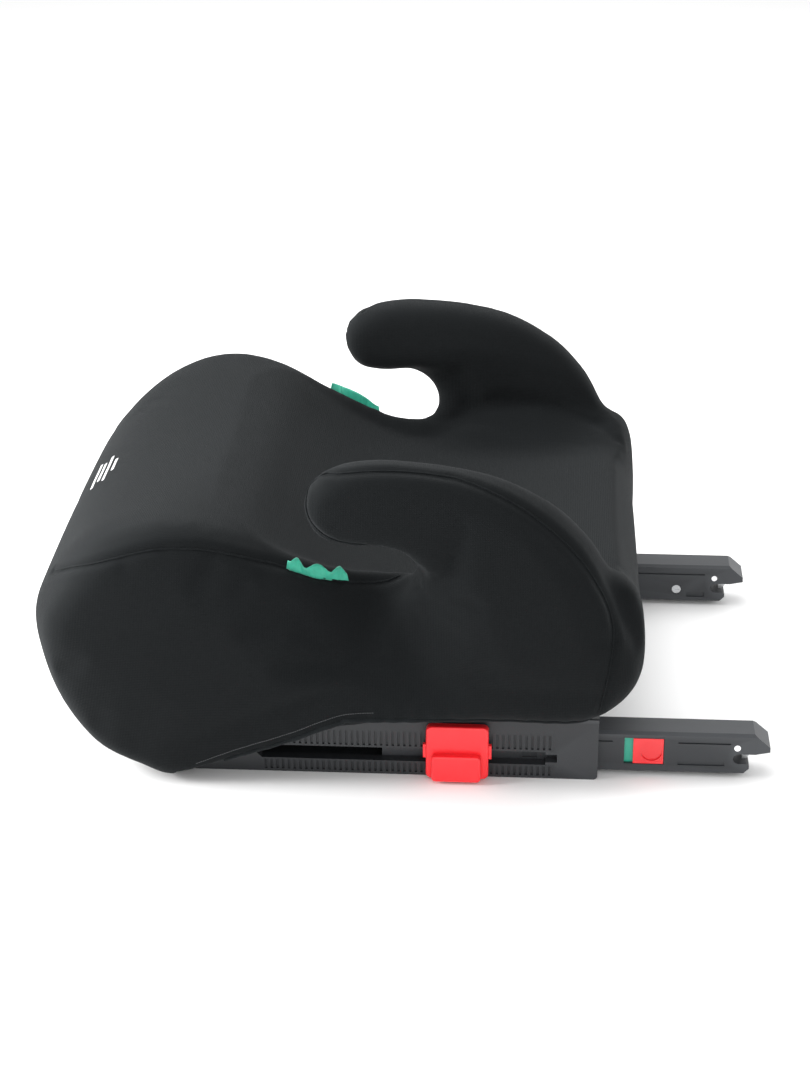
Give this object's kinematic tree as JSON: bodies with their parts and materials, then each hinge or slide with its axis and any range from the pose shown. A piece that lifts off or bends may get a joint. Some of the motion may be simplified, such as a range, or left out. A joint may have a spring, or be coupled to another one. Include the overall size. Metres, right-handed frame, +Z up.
{
  "type": "booster seat",
  "caption": "Backless child booster seat with horn armrests, belt guides and sliding latch arms for a car's anchor bars.",
  "frame": {"origin": "centre of the plastic base's resting face, midway between the two rails", "axes": "+X to the child's left, +Y to the rear where the ISOFIX arms point, +Z up"},
  "size_m": [0.376, 0.51, 0.2399],
  "materials": {
    "cover_jersey": "charcoal black knitted jersey",
    "foam": "polyurethane foam",
    "dark_shell": "moulded polypropylene",
    "dark_plastic": "moulded polypropylene, fine grain",
    "rail_plastic": "moulded polypropylene, fine grain",
    "arm_plastic": "moulded polyamide, fine grain",
    "green_ribbon": "woven satin ribbon",
    "green_flag": "smooth",
    "red_plastic": "gloss moulded",
    "red_plastic_satin": "satin moulded",
    "zinc_steel": "zinc plated",
    "bright_rivet": "bright",
    "zinc_screw": "zinc plated"
  },
  "bodies": {
    "seat": {"seat_cover": "cover_jersey", "seat_foam": "foam", "armrest_foam_left": "foam", "armrest_foam_right": "foam", "base_shell": "dark_shell", "base_deck": "dark_shell", "base_tray": "dark_plastic", "side_rail_left": "rail_plastic", "side_rail_right": "rail_plastic", "floor_screws": "zinc_screw", "rail_screws": "zinc_screw", "belt_guide_left": "green_ribbon", "belt_guide_right": "green_ribbon"},
    "arm_left": {"arm_frame_left": "zinc_steel", "arm_housing_outer_left": "arm_plastic", "arm_housing_inner_left": "arm_plastic", "hook_rivet_left": "bright_rivet", "housing_screws_left": "zinc_screw", "lock_indicator_left": "green_flag"},
    "adjuster_left": {"adjuster_button_left": "red_plastic_satin", "lock_bar_left": "zinc_steel"},
    "release_left": {"release_button_left": "red_plastic", "release_rod_left": "zinc_steel"},
    "latch_left": {"hook_left": "zinc_steel"},
    "arm_right": {"arm_frame_right": "zinc_steel", "arm_housing_outer_right": "arm_plastic", "arm_housing_inner_right": "arm_plastic", "hook_rivet_right": "bright_rivet", "housing_screws_right": "zinc_screw", "lock_indicator_right": "green_flag"},
    "adjuster_right": {"adjuster_button_right": "red_plastic_satin", "lock_bar_right": "zinc_steel"},
    "release_right": {"release_button_right": "red_plastic", "release_rod_right": "zinc_steel"},
    "latch_right": {"hook_right": "zinc_steel"}
  },
  "joints": [
    {"name": "arm_slide_left", "type": "slide", "parent": "seat", "child": "arm_left", "axis": [0, 1, 0], "range_m": [-0.108, 0.04]},
    {"name": "adjuster_press_left", "type": "slide", "parent": "arm_left", "child": "adjuster_left", "axis": [-1, 0, 0], "range_m": [0, 0.002], "stiffness_N_per_m": 2500, "springref_m": -0.001},
    {"name": "release_slide_left", "type": "slide", "parent": "arm_left", "child": "release_left", "axis": [0, -1, 0], "range_m": [0, 0.006], "stiffness_N_per_m": 1200, "springref_m": -0.002},
    {"name": "hook_pivot_left", "type": "hinge", "parent": "arm_left", "child": "latch_left", "pos_m": [0.14, 0.2375, 0.0232], "axis": [1, 0, 0], "range_deg": [0, 42]},
    {"name": "arm_slide_right", "type": "slide", "parent": "seat", "child": "arm_right", "axis": [0, 1, 0], "range_m": [-0.108, 0.04]},
    {"name": "adjuster_press_right", "type": "slide", "parent": "arm_right", "child": "adjuster_right", "axis": [1, 0, 0], "range_m": [0, 0.002], "stiffness_N_per_m": 2500, "springref_m": -0.001},
    {"name": "release_slide_right", "type": "slide", "parent": "arm_right", "child": "release_right", "axis": [0, -1, 0], "range_m": [0, 0.006], "stiffness_N_per_m": 1200, "springref_m": -0.002},
    {"name": "hook_pivot_right", "type": "hinge", "parent": "arm_right", "child": "latch_right", "pos_m": [-0.14, 0.2375, 0.0232], "axis": [1, 0, 0], "range_deg": [0, 42]}
  ],
  "couplings": [
    {"joint": "hook_pivot_left", "follows": "release_slide_left", "rad_per_m": 121.59},
    {"joint": "hook_pivot_right", "follows": "release_slide_right", "rad_per_m": 121.59}
  ]
}
